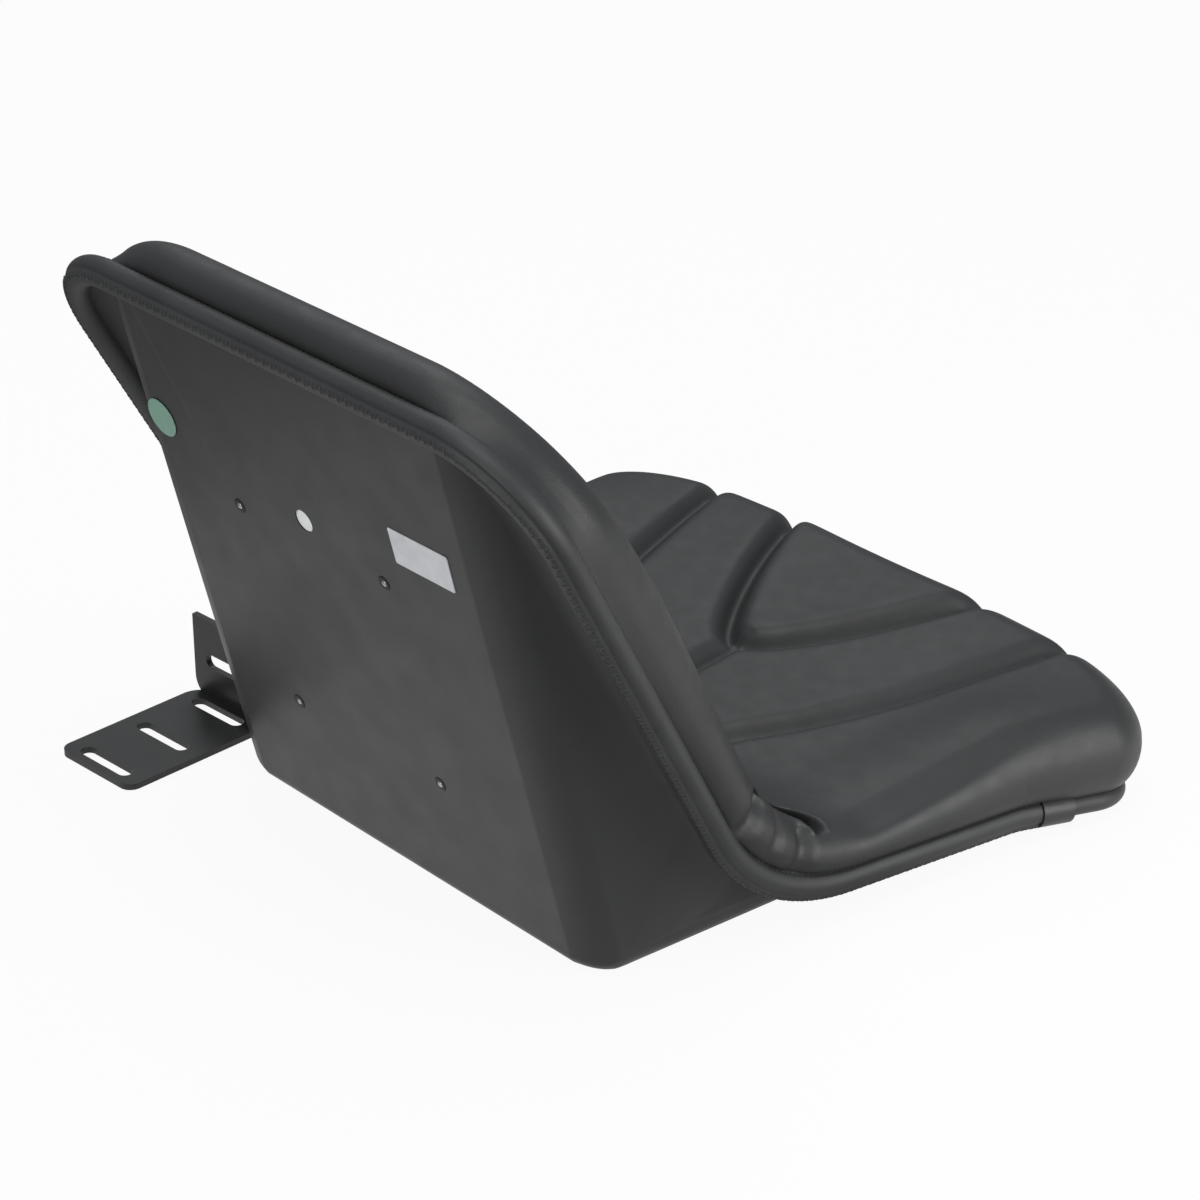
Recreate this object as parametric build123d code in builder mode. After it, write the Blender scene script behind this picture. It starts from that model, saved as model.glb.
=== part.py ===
from build123d import *
import os
from math import cos, hypot, radians, sin, tan

# A pan seat for a garden machine: a pressed steel pan with a flat bottom and a leaning back panel, one
# moulded cushion with a bonded vinyl skin, a bead binding round the rim and a slotted fixing bracket.
# The origin is the centre of the pan's flat bottom, +Z is up, the seat faces -Y and +X is its left.

# Pressed pan
sheet = 1.5
base_length = 340.0
base_width = 322.0
side_flare = 3.5
back_lean = 14.3
front_wall_rake = 30.0
pan_edge_radius = 12.0
crease_radius = 14.0

# Middle line of the rim: half widths, heights, and places from the bottom's back and front edges
rim_back_half, rim_knee_half, rim_front_half = 195.0, 208.0, 226.0
rim_top_height, rim_hip_height, rim_knee_height, rim_front_height = 344.0, 28.0, 19.0, 10.0
rim_top_behind, rim_hip_ahead = 86.3, 86.0
rim_front_beyond, rim_front_run = 15.0, 80.0
rim_corner_radius = 68.0
rim_hip_radius = 115.0
rim_knee_radius = 90.0
rim_front_radius = 35.0
rim_lap = 3.0

# Bead binding, its slimmer front run and the sleeves that cover the two joints
bead_radius = 8.5
front_bead_radius = 6.5
sleeve_wall = 1.2
sleeve_length = 22.0
sleeve_setback = 16.0
joint_gap = 1.0
fit_gap = 0.3

# Cushion above the rim
back_thickness = 38.0
back_rise = 14.0
side_overhang = 6.0
seat_front_height = 71.0
seat_rear_drop = 5.0
nose_overhang = 43.0
nose_corner_radius = 55.0
lap_fold_radius = 84.0
roll_radius = 12.0
neck_lap = 5.0

# Moulded grooves in the cushion
groove_width = 9.0
groove_depth = 6.0
stem_start, stem_end = 25.0, -83.0
arm_mid = (45.0, -127.0)
arm_end = (88.0, -262.0)
outer_start = (58.0, 40.0)
outer_mid = (112.0, -80.0)
outer_end = (162.0, -262.0)

# Weld nuts inside the pan, the vent hole and the thread
nut_flats, nut_height, thread_bore = 13.0, 6.5, 6.8
nut_room = 1.0
back_nut_pitch_x, back_nut_pitch_up = 126.0, 138.0
back_nut_low, back_nut_offset = 91.0, 8.0
base_nut_pitch_x, base_nut_pitch_y = 200.0, 180.0
vent_diameter, vent_above_nuts = 14.0, 15.0

# Slotted bracket on the left side wall and its bolts
plate = 4.0
bracket_set = 37.0
foot_standoff, foot_width, foot_length = 22.0, 68.0, 107.0
upright_height = 56.0
bend_relief_radius = 14.0
plate_corner_radius = 8.0
slot_length, slot_width = 45.0, 9.5
slot_edge, slot_pitch = 10.0, 43.0
tab_length, tab_bottom, tab_height = 52.0, 16.0, 24.0
bolt_diameter, bolt_clearance = 8.0, 0.6
bolt_first, bolt_pitch = 14.0, 26.0
bolt_tail = 3.0
head_flats, head_height = 13.0, 5.3
washer_diameter, washer_thickness = 16.0, 1.6

back_edge_y = base_length / 2
span = rim_front_half * 3

# The rim's side profile as (y, z): top of the back, hip, knee and front
rim_line = [
    (back_edge_y + rim_top_behind, rim_top_height),
    (back_edge_y - rim_hip_ahead, rim_hip_height),
    (-back_edge_y - rim_front_beyond + rim_front_run, rim_knee_height),
    (-back_edge_y - rim_front_beyond, rim_front_height),
]
rim_halves = [rim_back_half, rim_back_half, rim_knee_half, rim_front_half]
top_y, top_z = rim_line[0]
hip_y, hip_z = rim_line[1]
front_y, front_z = rim_line[3]
back_run = hypot(top_y - hip_y, top_z - hip_z)
up_y, up_z = (top_y - hip_y) / back_run, (top_z - hip_z) / back_run
rim_plane = Plane(origin=(0, top_y, top_z), x_dir=(1, 0, 0), z_dir=(0, -up_z, up_y))
overrun = span / 4
front_fall = (rim_knee_height - rim_front_height) / rim_front_run


def parallel(points, distance):
    """The same polyline moved sideways by a distance, towards the cushion, with mitred corners."""
    normals = []
    for (y0, z0), (y1, z1) in zip(points, points[1:]):
        length = hypot(y1 - y0, z1 - z0)
        normals.append(((z1 - z0) / length, (y0 - y1) / length))
    moved = []
    for index, (y, z) in enumerate(points):
        before = normals[max(index - 1, 0)]
        after = normals[min(index, len(normals) - 1)]
        share = distance / (1 + before[0] * after[0] + before[1] * after[1])
        moved.append((y + share * (before[0] + after[0]), z + share * (before[1] + after[1])))
    return moved


def rim_band(low, high, rise):
    """A bent slab right across the seat, between two parallels of the rim's side profile.

    It ends a rise above the middle line of the rim at the top of the back, and runs on at the front."""
    with BuildPart() as band:
        with BuildSketch(Plane.YZ):
            with BuildLine():
                ends = []
                for level in (low, high):
                    points = parallel(rim_line, level)
                    points[0] = (points[0][0] + up_y * rise, points[0][1] + up_z * rise)
                    points.append((points[3][0] - overrun, points[3][1] - overrun * front_fall))
                    points.pop(3)
                    radii = [rim_hip_radius - level, rim_knee_radius + level]
                    ends.append(FilletPolyline(*points, radius=radii))
                Line(ends[0] @ 0, ends[1] @ 0)
                Line(ends[0] @ 1, ends[1] @ 1)
            make_face()
        extrude(amount=span / 2, both=True)
    return band.part


def rim_outline(grow, front_grow, front_radius):
    """The rim's outline seen from above as an upright solid, moved outwards by a margin."""
    side = [(half + grow, y) for half, (y, _) in zip(rim_halves, rim_line)]
    side[0] = (side[0][0], top_y + span)
    side[3] = (side[3][0], front_y - front_grow)
    with BuildPart() as outline:
        with BuildSketch(Plane.XY.offset(-span / 4)) as shape:
            with BuildLine():
                Polyline(*side, *[(-x, y) for x, y in reversed(side)], close=True)
            make_face()
            fillet(shape.vertices().sort_by(Axis.Y)[2:6], radius=rim_hip_radius)
            fillet(shape.vertices().group_by(Axis.Y)[0], radius=front_radius)
        extrude(amount=span)
    return outline.part


def top_waste(grow, rise):
    """Everything outside the rounded top corners of the rim, square to the back run of the rim."""
    radius = rim_corner_radius + grow
    with BuildPart() as waste:
        with BuildSketch(rim_plane):
            with Locations((0, rise - radius)):
                Rectangle(span, span / 2, align=(Align.CENTER, Align.MIN))
        extrude(amount=span / 2, both=True)
        with BuildSketch(rim_plane) as kept:
            with Locations((0, rise)):
                Rectangle(2 * (rim_back_half + grow), 3 * radius, align=(Align.CENTER, Align.MAX))
            fillet(kept.vertices().group_by(Axis.Y)[-1], radius=radius)
        extrude(amount=span, both=True, mode=Mode.SUBTRACT)
    return waste.part


def bucket(inset, headroom):
    """The pan's form as a solid, moved inwards by an inset and reaching past the rim by a headroom."""
    flare = tan(radians(side_flare))
    lean = tan(radians(back_lean))
    rake = tan(radians(front_wall_rake))
    reach = base_length
    half = base_width / 2 - inset / cos(radians(side_flare))
    back_foot = back_edge_y + inset * lean - inset / cos(radians(back_lean))
    front_foot = -back_edge_y - inset * rake + inset / cos(radians(front_wall_rake))
    roof = parallel(rim_line, headroom)
    top = top_z + reach
    with BuildPart() as form:
        with BuildSketch(Plane.XY.offset(inset)):
            with BuildLine():
                wide, narrow = half + 2 * reach * flare, half - reach * flare
                Polyline(
                    (narrow, back_edge_y + reach),
                    (wide, back_edge_y - 2 * reach),
                    (-wide, back_edge_y - 2 * reach),
                    (-narrow, back_edge_y + reach),
                    close=True,
                )
            make_face()
        extrude(amount=top)
        with BuildSketch(Plane.YZ):
            with BuildLine():
                Polyline(
                    (back_foot, inset),
                    (back_foot + lean * top, inset + top),
                    (front_foot - rake * top, inset + top),
                    (front_foot, inset),
                    close=True,
                )
            make_face()
        extrude(amount=span / 2, both=True, mode=Mode.INTERSECT)
        creases = form.edges().filter_by(lambda edge: edge.length > top).sort_by(Axis.Y)
        fillet(creases, radius=crease_radius - inset)
        fillet(form.faces().sort_by(Axis.Z)[0].edges(), radius=pan_edge_radius - inset)
        with BuildSketch(Plane.YZ):
            with BuildLine():
                edge = FilletPolyline(
                    (roof[0][0] + up_y * reach, roof[0][1] + up_z * reach),
                    *roof[1:3],
                    (roof[3][0] - reach, roof[3][1] - reach * front_fall),
                    radius=[rim_hip_radius - headroom, rim_knee_radius + headroom],
                )
                Polyline(edge @ 1, (edge @ 1) - (0, 2 * reach), (edge @ 0) + (2 * reach, 0), edge @ 0)
            make_face()
        extrude(amount=span, both=True, mode=Mode.INTERSECT)
    return form.part


os.makedirs("parts", exist_ok=True)

back_normal = Vector(0, cos(radians(back_lean)), -sin(radians(back_lean)))
back_plane = Plane(origin=(0, back_edge_y, 0), x_dir=(-1, 0, 0), z_dir=back_normal)
wall_out = Vector(cos(radians(side_flare)), sin(radians(side_flare)), 0)
wall_back = Vector(-sin(radians(side_flare)), cos(radians(side_flare)), 0)
wall_point = Vector(base_width / 2, back_edge_y, 0) - wall_back * bracket_set
bracket_plane = Plane(origin=wall_point, x_dir=wall_out, z_dir=(0, 0, 1))
wall_plane = Plane(origin=wall_point, x_dir=wall_back, z_dir=wall_out)

back_nut_up = back_nut_low + back_nut_pitch_up / 2
back_nut_middle = (-back_nut_offset, back_nut_up)
vent_place = (-back_nut_offset, back_nut_low + back_nut_pitch_up + vent_above_nuts)
bolt_height = tab_bottom + tab_height / 2
bolt_middle = (-bolt_first - bolt_pitch / 2, bolt_height)


# The rim flange, before it joins the bucket
with BuildPart() as flange:
    add(rim_band(-sheet / 2, sheet / 2, 2 * rim_lap))
    add(rim_outline(rim_lap, rim_lap, rim_front_radius + rim_lap), mode=Mode.INTERSECT)
    add(top_waste(rim_lap, rim_lap), mode=Mode.SUBTRACT)

# The pan: bucket and rim flange pressed from one sheet, with holes for the nuts and one vent hole
with BuildPart() as seat_pan:
    add(bucket(0, 0))
    add(top_waste(rim_lap, rim_lap), mode=Mode.SUBTRACT)
    add(flange.part)
    add(bucket(sheet, 4 * sheet), mode=Mode.SUBTRACT)
    with BuildSketch(back_plane):
        with Locations(back_nut_middle):
            with GridLocations(back_nut_pitch_x, back_nut_pitch_up, 2, 2):
                Circle(thread_bore / 2)
        with Locations(vent_place):
            Circle(vent_diameter / 2)
    extrude(amount=-2 * sheet, mode=Mode.SUBTRACT)
    with BuildSketch(Plane.XY):
        with GridLocations(base_nut_pitch_x, base_nut_pitch_y, 2, 2):
            Circle(thread_bore / 2)
    extrude(amount=2 * sheet, mode=Mode.SUBTRACT)
    with BuildSketch(wall_plane):
        with Locations(bolt_middle):
            with GridLocations(bolt_pitch, 1, 2, 1):
                Circle((bolt_diameter + bolt_clearance) / 2)
    extrude(amount=-2 * sheet, mode=Mode.SUBTRACT)


def weld_nuts(plane, middle, pitch_x, pitch_y, rows, bore):
    """Hex nuts welded to the inside of the sheet, behind a pattern of holes on its outer face."""
    with BuildPart() as nuts:
        with BuildSketch(plane.offset(-sheet)):
            with Locations(middle):
                with GridLocations(pitch_x, pitch_y, 2, rows):
                    RegularPolygon(nut_flats / 2, 6, major_radius=False)
                    Circle(bore / 2, mode=Mode.SUBTRACT)
        extrude(amount=-nut_height)
    return nuts.part


base_under = Plane(origin=(0, 0, 0), x_dir=(1, 0, 0), z_dir=(0, 0, -1))
back_nuts = weld_nuts(back_plane, back_nut_middle, back_nut_pitch_x, back_nut_pitch_up, 2, thread_bore)
base_nuts = weld_nuts(base_under, (0, 0), base_nut_pitch_x, base_nut_pitch_y, 2, thread_bore)
side_nuts = weld_nuts(wall_plane, bolt_middle, bolt_pitch, 1, 1, bolt_diameter)

# The cushion: foam that fills the pan, steps in beside the bead and rolls out over it all round
seat_fall = tan(radians(seat_rear_drop))
front_face_y = front_y - nose_overhang
back_face = parallel(rim_line, back_thickness)
nose_top = (front_face_y, seat_front_height + seat_fall * roll_radius)
back_tip = (back_face[0][0] + up_y * back_rise, back_face[0][1] + up_z * back_rise)
fold_run = (back_tip[1] - nose_top[1] + seat_fall * (back_tip[0] - nose_top[0])) / (up_z + seat_fall * up_y)
fold_point = (back_tip[0] - up_y * fold_run, back_tip[1] - up_z * fold_run)
bead_room = bead_radius + sleeve_wall + 2 * fit_gap
lip_line = parallel(rim_line, bead_room)


def pads_outer_edges(part, facing):
    """The edges round the outside of the faces that look the given way along the pad."""
    faces = [face for face in part.faces() if facing(face.normal_at(face.center()))]
    edges = [edge for face in faces for edge in face.edges()]
    return [edge for edge in edges if sum(edge.is_same(other) for other in edges) == 1]


with BuildPart() as pad:
    with BuildSketch(Plane.YZ):
        with BuildLine():
            top_line = FilletPolyline(
                (back_tip[0] + up_y * roll_radius, back_tip[1] + up_z * roll_radius),
                fold_point,
                (nose_top[0] - overrun, nose_top[1] + seat_fall * overrun),
                radius=lap_fold_radius,
            )
            tip_rise = back_rise + roll_radius
            low_line = FilletPolyline(
                (lip_line[0][0] + up_y * tip_rise, lip_line[0][1] + up_z * tip_rise),
                *lip_line[1:4],
                (lip_line[3][0] - overrun, lip_line[3][1]),
                radius=[rim_hip_radius - bead_room, rim_knee_radius + bead_room, rim_knee_radius],
            )
            Line(top_line @ 0, low_line @ 0)
            Line(top_line @ 1, low_line @ 1)
        make_face()
    extrude(amount=span / 2, both=True)
    add(rim_outline(side_overhang, nose_overhang, nose_corner_radius), mode=Mode.INTERSECT)
    add(top_waste(side_overhang, back_rise), mode=Mode.SUBTRACT)
    fillet(pads_outer_edges(pad.part, lambda n: n.Z > 0.3 and n.Y < 0.3), radius=roll_radius)

# Grooves pressed into the seat: a stem that forks into two arms, with a longer groove outside each arm
with BuildPart() as groove_cut:
    with BuildSketch(Plane.XY):
        with BuildLine():
            Line((0, stem_start), (0, stem_end))
        trace(line_width=groove_width)
        for side in (1, -1):
            with BuildLine():
                ThreePointArc(
                    (0, stem_end),
                    (side * arm_mid[0], arm_mid[1]),
                    (side * arm_end[0], arm_end[1]),
                )
            trace(line_width=groove_width)
            with BuildLine():
                ThreePointArc(
                    (side * outer_start[0], outer_start[1]),
                    (side * outer_mid[0], outer_mid[1]),
                    (side * outer_end[0], outer_end[1]),
                )
            trace(line_width=groove_width)
    extrude(amount=span / 2)
    add(Pos(0, groove_depth / 2, -groove_depth) * pad.part, mode=Mode.SUBTRACT)

with BuildPart() as neck:
    add(rim_band(sheet / 2, bead_room + neck_lap, 0))
    add(rim_outline(-bead_room, 0, rim_front_radius + bead_room), mode=Mode.INTERSECT)
    add(top_waste(-bead_room, -bead_room), mode=Mode.SUBTRACT)
    neck_trim = Plane(origin=(0, front_y + bead_room, 0), x_dir=(1, 0, 0), z_dir=(0, -1, 0))
    split(bisect_by=neck_trim, keep=Keep.BOTTOM)

with BuildPart() as plug:
    add(bucket(sheet, bead_room + neck_lap))
    add(top_waste(-bead_room, -bead_room), mode=Mode.SUBTRACT)

nut_corner = nut_flats / 2 / cos(radians(30)) + nut_room

with BuildPart() as cushion:
    add(pad.part)
    add(groove_cut.part, mode=Mode.SUBTRACT)
    add(neck.part)
    add(plug.part)
    with BuildSketch(back_plane):
        with Locations(back_nut_middle):
            with GridLocations(back_nut_pitch_x, back_nut_pitch_up, 2, 2):
                Circle(nut_corner)
    extrude(amount=-(sheet + nut_height + nut_room), mode=Mode.SUBTRACT)
    with BuildSketch(base_under):
        with GridLocations(base_nut_pitch_x, base_nut_pitch_y, 2, 2):
            Circle(nut_corner)
    extrude(amount=-(sheet + nut_height + nut_room), mode=Mode.SUBTRACT)
    with BuildSketch(wall_plane):
        with Locations(bolt_middle):
            with GridLocations(bolt_pitch, 1, 2, 1):
                Circle(nut_corner)
    extrude(amount=-(sheet + nut_height + bolt_tail + nut_room), mode=Mode.SUBTRACT)

# The bead runs round the rim from joint to joint, with a slimmer bead across the front
rim_right = [Vector(-half, y, z) for half, (y, z) in zip(rim_halves, rim_line)]
rim_left = [Vector(half, y, z) for half, (y, z) in zip(rim_halves, rim_line)]
joint_place = sleeve_setback + sleeve_length / 2


def along_front(side, distance):
    """A point on the straight run of the rim from the knee to the front corner."""
    return side[2] + (side[3] - side[2]).normalized() * distance


with BuildPart() as rim_binding:
    with BuildLine() as bead_path:
        FilletPolyline(
            along_front(rim_right, joint_place - joint_gap / 2),
            rim_right[2],
            rim_right[1],
            rim_right[0],
            rim_left[0],
            rim_left[1],
            rim_left[2],
            along_front(rim_left, joint_place - joint_gap / 2),
            radius=[
                rim_knee_radius,
                rim_hip_radius,
                rim_corner_radius,
                rim_corner_radius,
                rim_hip_radius,
                rim_knee_radius,
            ],
        )
    with BuildSketch(Plane(origin=bead_path.line @ 0, z_dir=bead_path.line % 0)):
        Circle(bead_radius)
    sweep()
    add(flange.part, mode=Mode.SUBTRACT)
    add(bucket(0, 0), mode=Mode.SUBTRACT)

with BuildPart() as front_binding:
    with BuildLine() as front_path:
        FilletPolyline(
            along_front(rim_right, joint_place + joint_gap / 2),
            rim_right[3],
            rim_left[3],
            along_front(rim_left, joint_place + joint_gap / 2),
            radius=rim_front_radius,
        )
    with BuildSketch(Plane(origin=front_path.line @ 0, z_dir=front_path.line % 0)):
        Circle(front_bead_radius)
    sweep()
    add(flange.part, mode=Mode.SUBTRACT)


def binding_sleeve(side):
    """A short tube over the joint of the two beads, open where the rim flange runs into it."""
    run = (side[3] - side[2]).normalized()
    with BuildPart() as sleeve:
        with BuildSketch(Plane(origin=along_front(side, sleeve_setback), z_dir=run)):
            Circle(bead_radius + sleeve_wall)
            Circle(bead_radius, mode=Mode.SUBTRACT)
        extrude(amount=sleeve_length)
        add(flange.part, mode=Mode.SUBTRACT)
    return sleeve.part


# The bracket: a slotted foot, an upright bent up from it and a tab bent forward along the side wall
slot_middle = foot_standoff + foot_width / 2
outer_edge = foot_standoff + foot_width
upright_plane = Plane(origin=wall_point, x_dir=wall_out, z_dir=-wall_back)

with BuildPart() as mounting_bracket:
    with BuildSketch(bracket_plane) as foot:
        with Locations((foot_standoff, -plate)):
            Rectangle(foot_width, foot_length + plate, align=(Align.MIN, Align.MIN))
        fillet(foot.vertices().sort_by(Axis.Y)[2:4], radius=plate_corner_radius)
        fillet(foot.vertices().sort_by(Axis.X)[-1], radius=bend_relief_radius)
        with Locations((slot_middle, foot_length - slot_edge - slot_pitch)):
            with GridLocations(1, slot_pitch, 1, 3):
                SlotOverall(slot_length, slot_width, mode=Mode.SUBTRACT)
    extrude(amount=plate)
    with BuildSketch(upright_plane) as upright:
        with Locations((foot_standoff, 0)):
            Rectangle(foot_width, upright_height, align=(Align.MIN, Align.MIN))
        fillet(upright.vertices().sort_by(Axis.X)[2:4].sort_by(Axis.Y)[0], radius=bend_relief_radius)
        with Locations((0, tab_bottom)):
            Rectangle(foot_standoff, tab_height, align=(Align.MIN, Align.MIN))
        with Locations((slot_middle, upright_height / 2)):
            SlotOverall(slot_length, slot_width, mode=Mode.SUBTRACT)
    extrude(amount=plate)
    with BuildSketch(wall_plane):
        with Locations((0, tab_bottom)):
            Rectangle(tab_length, tab_height, align=(Align.MAX, Align.MIN))
        with Locations(bolt_middle):
            with GridLocations(bolt_pitch, 1, 2, 1):
                Circle((bolt_diameter + bolt_clearance) / 2, mode=Mode.SUBTRACT)
    extrude(amount=plate)

# Two bolts with plain washers hold the tab to the nuts inside the side wall
with BuildPart() as bracket_bolts:
    with BuildSketch(wall_plane.offset(plate + washer_thickness)):
        with Locations(bolt_middle):
            with GridLocations(bolt_pitch, 1, 2, 1):
                RegularPolygon(head_flats / 2, 6, major_radius=False)
    extrude(amount=head_height)
    with BuildSketch(wall_plane.offset(plate + washer_thickness)):
        with Locations(bolt_middle):
            with GridLocations(bolt_pitch, 1, 2, 1):
                Circle(bolt_diameter / 2)
    extrude(amount=-(plate + washer_thickness + sheet + nut_height + bolt_tail))

with BuildPart() as bracket_washers:
    with BuildSketch(wall_plane.offset(plate)):
        with Locations(bolt_middle):
            with GridLocations(bolt_pitch, 1, 2, 1):
                Circle(washer_diameter / 2)
                Circle((bolt_diameter + fit_gap) / 2, mode=Mode.SUBTRACT)
    extrude(amount=washer_thickness)

pieces = {
    "seat_pan": seat_pan.part,
    "cushion": cushion.part,
    "rim_binding": rim_binding.part,
    "front_binding": front_binding.part,
    "binding_sleeve_right": binding_sleeve(rim_right),
    "binding_sleeve_left": binding_sleeve(rim_left),
    "back_weld_nuts": back_nuts,
    "base_weld_nuts": base_nuts,
    "side_weld_nuts": side_nuts,
    "mounting_bracket": mounting_bracket.part,
    "bracket_bolts": bracket_bolts.part,
    "bracket_washers": bracket_washers.part,
}
for name, piece in pieces.items():
    piece.label = name
    export_step(piece, f"parts/{name}.step")
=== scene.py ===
from math import radians

import bmesh
import bpy
import numpy as np
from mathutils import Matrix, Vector


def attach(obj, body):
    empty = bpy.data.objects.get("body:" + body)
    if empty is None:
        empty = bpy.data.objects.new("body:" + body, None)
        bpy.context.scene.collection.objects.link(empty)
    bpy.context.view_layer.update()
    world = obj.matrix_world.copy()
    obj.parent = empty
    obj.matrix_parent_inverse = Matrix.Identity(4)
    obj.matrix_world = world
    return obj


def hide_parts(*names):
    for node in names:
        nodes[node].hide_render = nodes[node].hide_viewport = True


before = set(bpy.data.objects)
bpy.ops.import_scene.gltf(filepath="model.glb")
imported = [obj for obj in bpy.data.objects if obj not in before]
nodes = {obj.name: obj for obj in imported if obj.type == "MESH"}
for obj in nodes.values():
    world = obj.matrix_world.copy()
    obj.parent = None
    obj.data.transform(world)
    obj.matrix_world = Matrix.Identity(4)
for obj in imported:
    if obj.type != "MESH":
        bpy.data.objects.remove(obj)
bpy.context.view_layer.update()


# Seat pan
# One pressed sheet of steel: a bucket with a flat bottom, a leaning back panel and a narrow rim.
# It is sprayed a dark grey satin that dries with a faint orange-peel texture.
def new_finish(name, colour, roughness, metallic=0.0):
    """A material with one shader, its constants set on the shader's own sockets."""
    material = bpy.data.materials.new(name)
    material.use_nodes = True
    tree = material.node_tree
    shader = tree.nodes["Principled BSDF"]
    shader.inputs["Base Color"].default_value = (*colour, 1.0)
    shader.inputs["Roughness"].default_value = roughness
    shader.inputs["Metallic"].default_value = metallic
    place = tree.nodes.new("ShaderNodeTexCoord")
    return material, tree, shader, place.outputs["Object"]


def mottle(tree, place, scale, detail=3.0):
    """Smooth noise over the object's own coordinates, about one over scale metres across."""
    noise = tree.nodes.new("ShaderNodeTexNoise")
    noise.inputs["Scale"].default_value = scale
    noise.inputs["Detail"].default_value = detail
    tree.links.new(place, noise.inputs["Vector"])
    return noise.outputs["Fac"]


def vary(tree, shader, socket, place, low, high, scale, detail=3.0):
    """Lets noise move one socket of the shader, from low where it is under 0.3 to high where over 0.7."""
    ramp = tree.nodes.new("ShaderNodeValToRGB")
    for element, position, colour in zip(ramp.color_ramp.elements, (0.3, 0.7), (low, high)):
        element.position = position
        element.color = colour
    tree.links.new(mottle(tree, place, scale, detail), ramp.inputs["Fac"])
    tree.links.new(ramp.outputs["Color"], shader.inputs[socket])


def raise_grain(tree, shader, height, depth, strength, before=None):
    """Bump that lifts the surface by depth metres where the height is 1."""
    bump = tree.nodes.new("ShaderNodeBump")
    bump.inputs["Strength"].default_value = strength
    bump.inputs["Distance"].default_value = depth
    tree.links.new(height, bump.inputs["Height"])
    if before is not None:
        tree.links.new(before, bump.inputs["Normal"])
    tree.links.new(bump.outputs["Normal"], shader.inputs["Normal"])
    return bump.outputs["Normal"]


def grey(value):
    """A neutral colour, a touch cooler than pure grey."""
    return (value * 0.985, value, value * 1.03, 1.0)


def dress_node(node, material):
    """Gives a CAD node its finish."""
    mesh = nodes[node].data
    mesh.materials.clear()
    mesh.materials.append(material)


pan_paint, tree, shader, place = new_finish("pan_paint", (0.022, 0.022, 0.023), roughness=0.40)
vary(tree, shader, "Base Color", place, grey(0.020), grey(0.025), scale=9.0, detail=5.0)
vary(tree, shader, "Roughness", place, grey(0.37), grey(0.44), scale=40.0)
raise_grain(tree, shader, mottle(tree, place, scale=700.0, detail=2.0), depth=0.0004, strength=0.10)

# The press draws each back crease wider than a plain fold: it starts with a fine edge on the panel, 25 mm
# from the corner, and runs out into the side wall 20 mm from it. The sheet is the CAD pan's own.
panel_lean, wall_flare, crease_radius = radians(14.3), radians(3.5), 0.014
panel_turn, wall_turn, edge_share, run_out = 0.025, 0.020, 0.5, 0.015
panel_foot, wall_foot = np.array([0.0, 0.170, 0.0]), np.array([0.161, 0.170, 0.0])
panel_out = np.array([0.0, np.cos(panel_lean), -np.sin(panel_lean)])
rim_out, rim_zone = np.array([0.0, -0.8780, 0.4787]), 0.1
tangent_slack, face_slack, sharp_angle = 2e-5, 3e-4, radians(25)


def drawn_crease(points, hand):
    """Moves the points of one rounded crease to the drawn section, by their angle round the fold.

    The angle runs from 0 on the panel to 90 degrees on the wall. The fold's own depths from the two planes
    are r (1 - cos) and r (1 - sin). The drawn ones are an oval with its own two turns, partly flattened
    to a chord at the panel. A point keeps its height at the bottom and its place in the rim at the top."""
    wall_out = np.array([hand * np.cos(wall_flare), np.sin(wall_flare), 0.0])
    along = np.cross(panel_out, wall_out)
    along /= along[2]
    deep_panel = (panel_foot - points) @ panel_out
    deep_wall = (wall_foot * [hand, 1, 1] - points) @ wall_out
    by_panel = (deep_panel < crease_radius + tangent_slack) & (deep_wall < panel_turn + run_out)
    by_wall = (deep_wall < crease_radius + tangent_slack) & (deep_panel < wall_turn + run_out)
    near = (deep_panel > -face_slack) & (deep_wall > -face_slack) & (by_panel | by_wall)
    beside = np.maximum(crease_radius - np.stack([deep_wall, deep_panel]), 0)
    angle = np.arctan2(beside[0], np.maximum(beside[1], 1e-9))
    share = np.clip(angle / (np.pi / 2), 0, 1)
    chord = edge_share * (1 - share) ** 2
    oval = np.stack([wall_turn * (1 - np.cos(angle)), panel_turn * (1 - np.sin(angle))])
    flat = np.stack([wall_turn * share, panel_turn * (1 - share)])
    fold = crease_radius * np.stack([1 - np.cos(angle), 1 - np.sin(angle)])
    shift = oval + chord * (flat - oval) - fold
    past = np.maximum(np.stack([deep_panel, deep_wall]) - crease_radius, 0)
    shift *= np.clip(1 - past / (np.array([[wall_turn], [panel_turn]]) + run_out - crease_radius), 0, 1)
    mixed = np.linalg.inv([[1, panel_out @ wall_out], [panel_out @ wall_out, 1]]) @ shift
    move = -(mixed[0][:, None] * panel_out + mixed[1][:, None] * wall_out)
    keep = np.where(points[:, 2:] > rim_zone, rim_out, [0.0, 0.0, 1.0])
    move -= along * ((move * keep).sum(-1) / (keep * along).sum(-1))[:, None]
    return np.where(near[:, None], points + move, points)


sheet_work = bmesh.new()
sheet_work.from_mesh(nodes["seat_pan"].data)
bmesh.ops.remove_doubles(sheet_work, verts=sheet_work.verts, dist=1e-6)
pan_mesh = bpy.data.meshes.new("pan_sheet")
sheet_work.to_mesh(pan_mesh)
sheet_work.free()
pan_points = np.empty(len(pan_mesh.vertices) * 3)
pan_mesh.vertices.foreach_get("co", pan_points)
pan_points = pan_points.reshape(-1, 3)
for hand in (1, -1):
    pan_points = drawn_crease(pan_points, hand)
pan_mesh.vertices.foreach_set("co", pan_points.ravel())
pan_mesh.polygons.foreach_set("use_smooth", np.full(len(pan_mesh.polygons), True))
pan_mesh.set_sharp_from_angle(angle=sharp_angle)
pan_mesh.materials.clear()
pan_mesh.materials.append(pan_paint)
pan = bpy.data.objects.new("pan_sheet", pan_mesh)
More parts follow.
